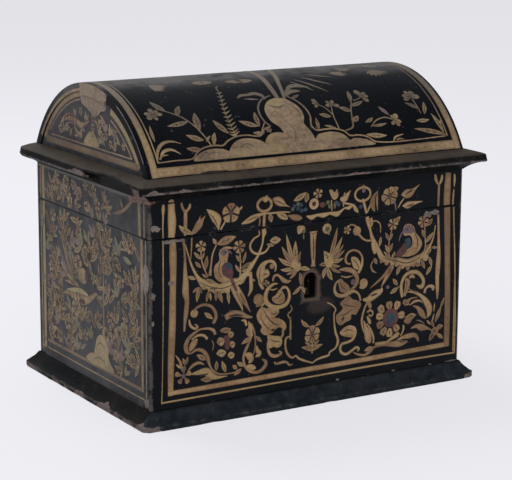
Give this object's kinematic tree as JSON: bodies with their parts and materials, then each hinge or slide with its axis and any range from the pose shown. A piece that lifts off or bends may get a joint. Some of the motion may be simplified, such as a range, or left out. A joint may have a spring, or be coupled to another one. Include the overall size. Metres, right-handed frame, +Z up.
{
  "type": "domed wooden casket",
  "caption": "Small wooden casket with a barrel-shaped hinged lid, stepped cornice, base moulding and a box lock behind a bare keyhole.",
  "frame": {"origin": "on the floor under the middle of the base", "axes": "+X along the front to the right, -Y out of the front, +Z up"},
  "size_m": [0.243, 0.175, 0.1916],
  "materials": {
    "lacquer": "black lacquer over wood, satin, with painted gold",
    "moulding": "plain black lacquer, worn at the edges",
    "bare_wood": "bare aged wood",
    "iron": "forged and filed iron, dull"
  },
  "bodies": {
    "box": {"bottom_board": "bare_wood", "front_board": "lacquer", "back_board": "lacquer", "left_board": "lacquer", "right_board": "lacquer", "front_base_moulding": "moulding", "back_base_moulding": "moulding", "left_base_moulding": "moulding", "right_base_moulding": "moulding", "left_hinge_lower_leaf": "iron", "left_hinge_pin": "iron", "left_lower_leaf_nail_1": "iron", "left_lower_leaf_nail_2": "iron", "right_hinge_lower_leaf": "iron", "right_hinge_pin": "iron", "right_lower_leaf_nail_1": "iron", "right_lower_leaf_nail_2": "iron", "lock_plate": "iron", "lock_case": "iron", "key_pin": "iron", "lock_ward": "iron", "bolt_guide_upper": "iron", "bolt_guide_lower": "iron", "bolt_spring": "iron", "lock_plate_nail_1": "iron", "lock_plate_nail_2": "iron", "lock_plate_nail_3": "iron", "lock_plate_nail_4": "iron", "lock_case_nail_1": "iron", "lock_case_nail_2": "iron"},
    "lid": {"lid_front_rail": "lacquer", "lid_back_rail": "lacquer", "lid_left_rail": "lacquer", "lid_right_rail": "lacquer", "front_cornice": "moulding", "back_cornice": "moulding", "left_cornice": "moulding", "right_cornice": "moulding", "dome_stave_1": "lacquer", "dome_stave_2": "lacquer", "dome_stave_3": "lacquer", "dome_stave_4": "lacquer", "dome_stave_5": "lacquer", "dome_stave_6": "lacquer", "dome_stave_7": "lacquer", "left_end_panel": "lacquer", "right_end_panel": "lacquer", "left_hinge_upper_leaf": "iron", "left_upper_leaf_nail_1": "iron", "left_upper_leaf_nail_2": "iron", "right_hinge_upper_leaf": "iron", "right_upper_leaf_nail_1": "iron", "right_upper_leaf_nail_2": "iron", "staple_plate": "iron", "lock_staple": "iron", "staple_plate_nail_1": "iron", "staple_plate_nail_2": "iron"},
    "bolt": {"lock_bolt": "iron"}
  },
  "joints": [
    {"name": "lid_hinge", "type": "hinge", "parent": "box", "child": "lid", "pos_m": [0, 0.079, 0.11075], "axis": [-1, 0, 0], "range_deg": [0, 100]},
    {"name": "bolt_slide", "type": "slide", "parent": "box", "child": "bolt", "axis": [1, 0, 0], "range_m": [0, 0.0065]}
  ]
}
